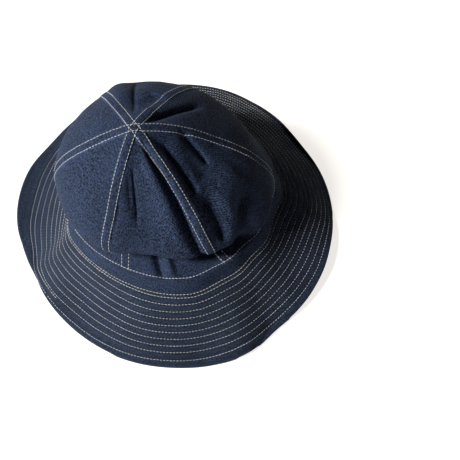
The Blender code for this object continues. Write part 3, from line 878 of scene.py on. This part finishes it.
# %% Denim group
def denim_group():
    """Shader group: colour, roughness and height of twill, from a flat map in metres."""
    group = bpy.data.node_groups.new("Denim twill", "ShaderNodeTree")
    face = group.interface
    face.new_socket("Map", in_out="INPUT", socket_type="NodeSocketVector")
    face.new_socket("Deep blue", in_out="INPUT", socket_type="NodeSocketColor")
    face.new_socket("Worn blue", in_out="INPUT", socket_type="NodeSocketColor")
    face.new_socket("Mottle", in_out="INPUT", socket_type="NodeSocketFloat")
    face.new_socket("Wear", in_out="INPUT", socket_type="NodeSocketFloat")
    face.new_socket("Color", in_out="OUTPUT", socket_type="NodeSocketColor")
    face.new_socket("Roughness", in_out="OUTPUT", socket_type="NodeSocketFloat")
    face.new_socket("Height", in_out="OUTPUT", socket_type="NodeSocketFloat")
    start = add(group, "NodeGroupInput", (-1400, 0))
    place = add(group, "ShaderNodeSeparateXYZ", (-1200, 200), i0=start.outputs["Map"])
    warp = math(group, "MULTIPLY", (-1000, 300), place.outputs[0], 1.0 / WARP_PITCH)
    weft = math(group, "MULTIPLY", (-1000, 100), place.outputs[1], 1.0 / WEFT_PITCH)
    warp_number = math(group, "FLOOR", (-820, 380), warp)
    weft_number = math(group, "FLOOR", (-820, 60), weft)
    sum_number = math(group, "ADD", (-660, 220), warp_number, weft_number)
    quarter = math(group, "FRACT", (-420, 220), math(group, "MULTIPLY", (-540, 220), sum_number, 0.25))
    shows = math(group, "LESS_THAN", (-260, 220), quarter, 0.2)
    warp_round = math(group, "SINE", (-540, 380), math(group, "MULTIPLY", (-660, 380),
                      math(group, "FRACT", (-740, 460), warp), np.pi))
    weft_round = math(group, "SINE", (-540, 60), math(group, "MULTIPLY", (-660, 60),
                      math(group, "FRACT", (-740, 0), weft), np.pi))
    pale = math(group, "MULTIPLY", (-100, 220), shows, weft_round)
    stretched = add(group, "ShaderNodeVectorMath", (-1000, -200), {"operation": "MULTIPLY"},
                    i0=start.outputs["Map"], i1=(1.0, 0.5, 1.0)).outputs[0]
    grain = add(group, "ShaderNodeTexNoise", (-800, -160), i0=stretched,
                Scale=1150.0, Detail=2.0, Roughness=0.8)
    blotch = add(group, "ShaderNodeTexNoise", (-800, -360), i0=start.outputs["Map"], Scale=240.0, Detail=3.0)
    cloud = add(group, "ShaderNodeTexNoise", (-800, -560), i0=start.outputs["Map"], Scale=32.0, Detail=2.0)
    grain_amount = math(group, "MULTIPLY_ADD", (-600, -160), grain.outputs[0], 6.6)
    group.nodes[-1].inputs[2].default_value = -2.80
    blotches = math(group, "MULTIPLY", (-600, -360), blotch.outputs[0], 1.1)
    clouds = math(group, "MULTIPLY", (-600, -560), cloud.outputs[0], 0.7)
    mixed = math(group, "ADD", (-400, -200), grain_amount, blotches)
    mixed = math(group, "ADD", (-260, -240), mixed, clouds)
    mixed = math(group, "ADD", (-120, -240), mixed, -0.9)
    mixed = math(group, "MULTIPLY", (20, -240), mixed, start.outputs["Mottle"])
    patchy = math(group, "MULTIPLY", (-120, -420), grain.outputs[0], 1.5)
    rubbed = math(group, "MULTIPLY", (20, -420), start.outputs["Wear"], patchy)
    mixed = math(group, "ADD", (100, -300), mixed, rubbed)
    worn = add(group, "ShaderNodeMix", (180, -100), {"data_type": "RGBA", "clamp_factor": False},
               i0=mixed, i6=start.outputs["Deep blue"], i7=start.outputs["Worn blue"])
    lit = add(group, "ShaderNodeMix", (360, 0), {"data_type": "RGBA"},
              i0=math(group, "MULTIPLY", (180, 120), pale, 0.34), i6=worn.outputs[2],
              i7=(0.12, 0.15, 0.20, 1.0))
    rough = math(group, "MULTIPLY_ADD", (180, -300), grain.outputs[0], -0.2)
    group.nodes[-1].inputs[2].default_value = 0.98
    warp_on_top = math(group, "SUBTRACT", (-400, 460), 1.0, shows)
    relief_of_warp = math(group, "MULTIPLY", (-260, 420), warp_round, warp_on_top)
    relief_of_weft = math(group, "MULTIPLY", (-100, 340), pale, 0.7)
    relief_of_grain = math(group, "MULTIPLY", (-60, 300), grain.outputs[0], 1.6)
    height = math(group, "ADD", (-60, 420), relief_of_warp, relief_of_weft)
    height = math(group, "ADD", (120, 420), height, relief_of_grain)
    add(group, "NodeGroupOutput", (560, 100), Color=lit.outputs[2], Roughness=rough, Height=height)
    return group


WARP_PITCH = 0.00040
WEFT_PITCH = 0.00052
twill = denim_group()

# %% Denim materials
def denim(name, deep, worn, mottle):
    """Principled cloth: the group feeds colour, roughness and a bump, and the sheen is the same all over."""
    material = bpy.data.materials.new(name)
    material.use_nodes = True
    tree = material.node_tree
    shader = tree.nodes["Principled BSDF"]
    cut = add(tree, "ShaderNodeUVMap", (-700, 0), {"uv_map": "Cloth"})
    weave = add(tree, "ShaderNodeGroup", (-480, 0), {"node_tree": twill})
    tree.links.new(cut.outputs[0], weave.inputs["Map"])
    weave.inputs["Deep blue"].default_value = (*deep, 1.0)
    weave.inputs["Worn blue"].default_value = (*worn, 1.0)
    weave.inputs["Mottle"].default_value = mottle
    worn_edges = add(tree, "ShaderNodeAttribute", (-700, -260), {"attribute_name": "Wear"})
    tree.links.new(worn_edges.outputs["Fac"], weave.inputs["Wear"])
    bump = add(tree, "ShaderNodeBump", (-200, -200), Strength=0.7, Distance=0.00012,
               Height=weave.outputs["Height"])
    tree.links.new(weave.outputs["Color"], shader.inputs["Base Color"])
    tree.links.new(weave.outputs["Roughness"], shader.inputs["Roughness"])
    tree.links.new(bump.outputs[0], shader.inputs["Normal"])
    shader.inputs["Sheen Weight"].default_value = 0.015
    shader.inputs["Sheen Roughness"].default_value = 0.45
    shader.inputs["Specular IOR Level"].default_value = 0.10
    return material


crown_denim = denim("Crown denim", (0.0004, 0.0014, 0.007), (0.0235, 0.0400, 0.088), 0.95)
brim_denim = denim("Brim denim", (0.0003, 0.0011, 0.005), (0.0160, 0.0258, 0.052), 0.95)

# %% [markdown]
# ## Thread colour
# The thread is undyed cotton with a slight twist, a little darker where hands have touched it.

# %% Thread material
def thread_material():
    """Cream cotton: slanting twist from the map, and slow darker stretches from the object's own space."""
    material = bpy.data.materials.new("Ecru thread")
    material.use_nodes = True
    tree = material.node_tree
    shader = tree.nodes["Principled BSDF"]
    cut = add(tree, "ShaderNodeUVMap", (-900, 0), {"uv_map": "Cloth"})
    twist = add(tree, "ShaderNodeTexWave", (-700, 0), {"bands_direction": "DIAGONAL"},
                i0=cut.outputs[0], Scale=900.0)
    where = add(tree, "ShaderNodeTexCoord", (-900, -300))
    touch = add(tree, "ShaderNodeTexNoise", (-700, -300), i0=where.outputs["Object"], Scale=120.0, Detail=2.0)
    tint = add(tree, "ShaderNodeMix", (-400, 0), {"data_type": "RGBA"}, i0=touch.outputs[0],
               i6=(0.42, 0.43, 0.42, 1.0), i7=(0.88, 0.88, 0.85, 1.0))
    bump = add(tree, "ShaderNodeBump", (-200, -200), Strength=0.5, Distance=0.00008, Height=twist.outputs[1])
    tree.links.new(tint.outputs[2], shader.inputs["Base Color"])
    tree.links.new(bump.outputs[0], shader.inputs["Normal"])
    shader.inputs["Roughness"].default_value = 0.75
    shader.inputs["Sheen Weight"].default_value = 0.2
    return material


ecru = thread_material()

# %% [markdown]
# ## Putting the pieces on the imported hat
# Every piece rides on the hat's one body and takes its material, and the fine cloths stand for the
# plain solids they cover.

# %% Ride, replace and finish
def dress(piece, material, finish, *nodes):
    """Gives a piece its material, its body and the solids that it stands for."""
    piece.data.materials.clear()
    piece.data.materials.append(material)
    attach(piece, "root")
    if nodes:
        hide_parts(*nodes)


dress(brim_top, brim_denim, "brim_denim", "brim_top")
dress(brim_under, brim_denim, "brim_denim", "brim_under")
dress(band, crown_denim, "crown_denim", "crown_band")
for piece, name in zip(gores, GORES):
    dress(piece, crown_denim, "crown_denim", "crown_gore_" + name)
for piece in (thread_brim, thread_under, thread_crown, thread_inside):
    dress(piece, ecru, "thread")

# %% [markdown]
# ## Table, light and camera
# The hat lies on a pale table with soft daylight from two windows on the left, one high and one low, and
# the camera looks down at it steeply. The camera sees a white room, which gives the hat only a little light
# of its own, so the folds stay dark. The table glows a little by itself, as a photographer's light table
# does, so it stays white and the shadow on it stays faint.

# %% Pale table
floor_mesh = bpy.data.meshes.new("pale_table")
floor_mesh.from_pydata([(-3, -3, 0), (3, -3, 0), (3, 3, 0), (-3, 3, 0)], [], [(0, 1, 2, 3)])
floor = bpy.data.objects.new("pale_table", floor_mesh)
floor.location.z = -0.0002
bpy.context.collection.objects.link(floor)
pale = bpy.data.materials.new("Pale table")
pale.use_nodes = True
table_top = pale.node_tree.nodes["Principled BSDF"]
table_top.inputs["Base Color"].default_value = (0.40, 0.39, 0.37, 1.0)
table_top.inputs["Emission Color"].default_value = (1.0, 0.97, 0.93, 1.0)
table_top.inputs["Emission Strength"].default_value = 0.82
table_top.inputs["Roughness"].default_value = 0.9
floor_mesh.materials.append(pale)

# %% Daylight
from mathutils import Vector


def area_light(name, place, target, size, energy, color):
    """Square soft light at a place, turned towards a target."""
    data = bpy.data.lights.new(name, "AREA")
    data.size = size
    data.energy = energy
    data.color = color
    light = bpy.data.objects.new(name, data)
    light.location = place
    light.rotation_euler = (Vector(target) - Vector(place)).to_track_quat("-Z", "Y").to_euler()
    bpy.context.collection.objects.link(light)


DAYLIGHT = (1.0, 0.985, 0.96)
LIT_SPOT = (0.0, 0.0, 0.05)
area_light("high_window", (-1.499, -0.319, 1.286), LIT_SPOT, 0.4, 84.0, DAYLIGHT)
area_light("low_window", (-1.389, -1.165, 0.845), LIT_SPOT, 0.5, 5.0, DAYLIGHT)
world = bpy.data.worlds.new("Room")
world.use_nodes = True
backdrop = world.node_tree.nodes["Background"]
backdrop.inputs[0].default_value = (0.95, 0.97, 1.0, 1.0)
seen = add(world.node_tree, "ShaderNodeLightPath", (-400, 0))
strength = add(world.node_tree, "ShaderNodeMix", (-200, 0),
               i0=seen.outputs["Is Camera Ray"], i2=0.012, i3=1.0)
world.node_tree.links.new(strength.outputs[0], backdrop.inputs[1])
bpy.context.scene.world = world
bpy.context.scene.view_settings.view_transform = "Standard"

# %% Camera
camera_data = bpy.data.cameras.new("photograph")
camera_data.sensor_width = 36.0
camera_data.lens = 36.0
camera_data.clip_end = 50.0
camera = bpy.data.objects.new("photograph", camera_data)
camera.location = np.array((0.0517, -0.2068, 0.4202)) - MIDDLE
camera.rotation_euler = (np.radians(90.0 - 66.0), 0.0, 0.0)
bpy.context.collection.objects.link(camera)
bpy.context.scene.camera = camera
